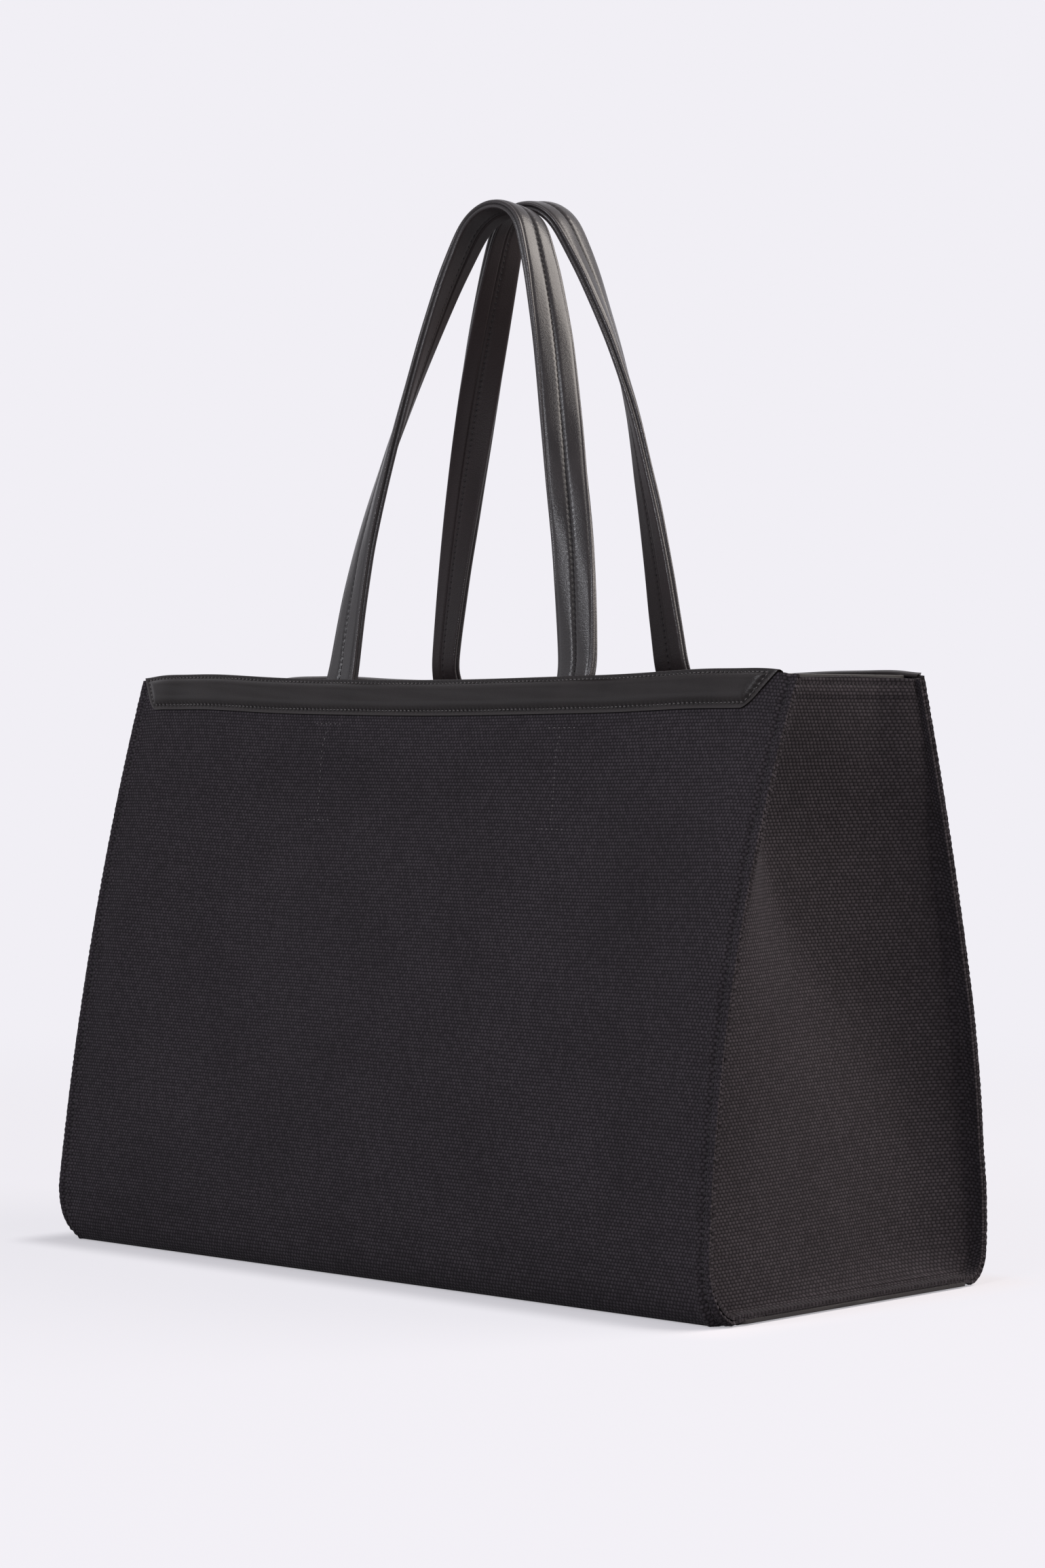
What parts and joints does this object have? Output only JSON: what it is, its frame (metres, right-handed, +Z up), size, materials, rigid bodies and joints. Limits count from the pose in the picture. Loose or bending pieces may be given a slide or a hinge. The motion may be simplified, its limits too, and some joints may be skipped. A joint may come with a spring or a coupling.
{
  "type": "canvas tote bag",
  "caption": "Open-topped canvas tote bag with bowed walls, pinched side gussets, a leather base, padded leather mouth bands and twisted leather strap handles.",
  "frame": {"origin": "under the middle of the leather base, on the surface that the bag stands on", "axes": "+X along the bag's length, -Y towards its front wall, +Z up towards the handles"},
  "size_m": [0.46, 0.216, 0.5442],
  "materials": {
    "canvas": "coarse plain-weave canvas, nearly black",
    "leather": "fine-grained dark leather, semi-gloss",
    "lining": "plain dark cotton lining",
    "felt": "filler strip under the leather",
    "board": "stiff base board"
  },
  "bodies": {
    "bag": {"front_panel": "canvas", "back_panel": "canvas", "left_gusset": "canvas", "right_gusset": "canvas", "base_panel": "leather", "base_board": "board", "front_top_band": "leather", "back_top_band": "leather", "front_band_filler": "felt", "back_band_filler": "felt", "front_facing": "leather", "back_facing": "leather", "left_gusset_facing": "leather", "right_gusset_facing": "leather", "front_lining": "lining", "back_lining": "lining", "left_gusset_lining": "lining", "right_gusset_lining": "lining", "base_lining": "lining", "front_handle_left_end": "leather", "front_handle_right_end": "leather", "back_handle_left_end": "leather", "back_handle_right_end": "leather"},
    "front_handle": {"front_handle_outer": "leather", "front_handle_filler": "felt", "front_handle_inner": "leather"},
    "back_handle": {"back_handle_outer": "leather", "back_handle_filler": "felt", "back_handle_inner": "leather"}
  },
  "joints": [
    {"name": "front_handle_swing", "type": "hinge", "parent": "bag", "child": "front_handle", "pos_m": [0, -0.04645, 0.3002], "axis": [1, 0, 0], "range_deg": [0, 155]},
    {"name": "back_handle_swing", "type": "hinge", "parent": "bag", "child": "back_handle", "pos_m": [0, 0.04645, 0.3002], "axis": [-1, 0, 0], "range_deg": [0, 155]}
  ]
}
